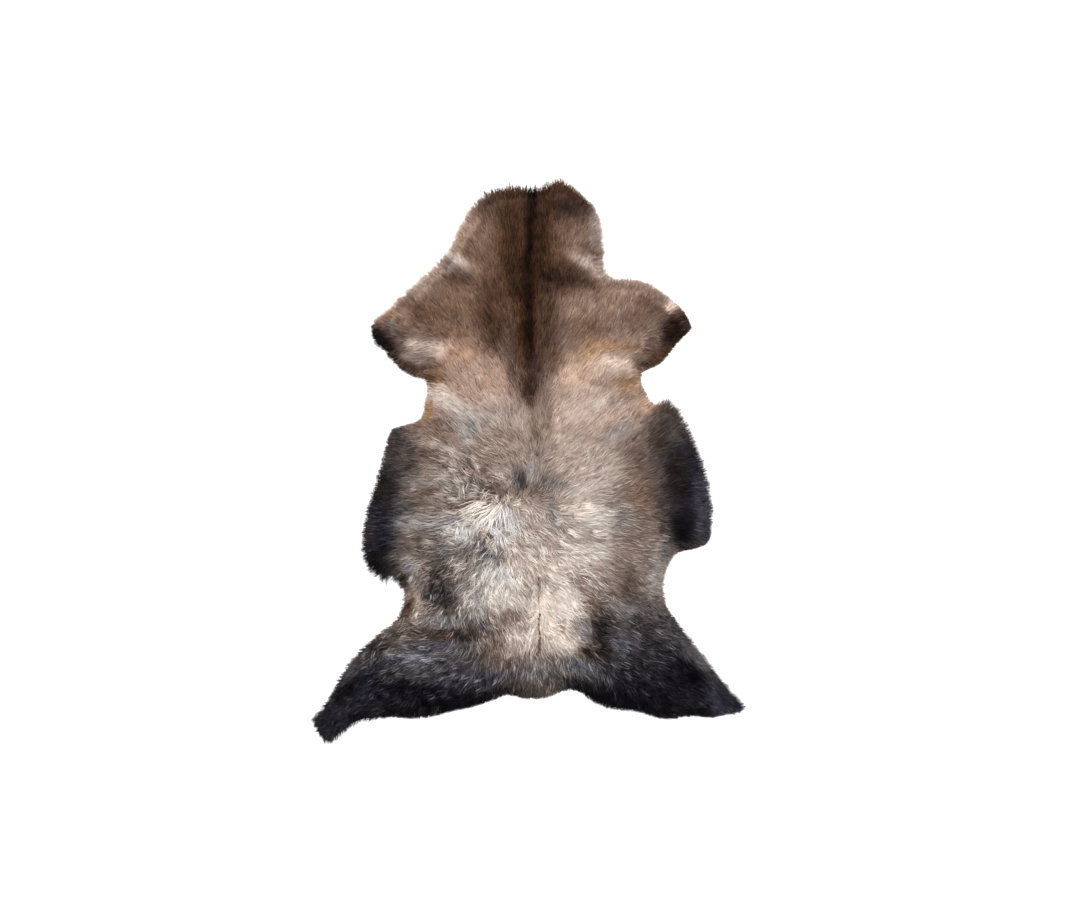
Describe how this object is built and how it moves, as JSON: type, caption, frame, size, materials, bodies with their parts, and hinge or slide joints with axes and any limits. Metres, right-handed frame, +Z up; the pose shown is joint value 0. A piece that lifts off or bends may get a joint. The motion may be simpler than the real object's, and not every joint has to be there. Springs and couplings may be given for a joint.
{
  "type": "lambskin",
  "caption": "Tanned lambskin rug lying flat with its wool up: neck, legs, flank flaps and tail left on, dark wool at the rim and pale wool on the back.",
  "frame": {"origin": "on the floor, under the middle of the pelt's box", "axes": "+Y along the spine towards the neck, +X to the right of the pelt seen from above, +Z up out of the wool"},
  "size_m": [0.76, 1, 0.0446],
  "materials": {
    "wool": "soft straight wool in browns, beige and charcoal",
    "skin": "suede flesh side"
  },
  "bodies": {
    "root": {"lambskin": "wool"}
  },
  "joints": []
}
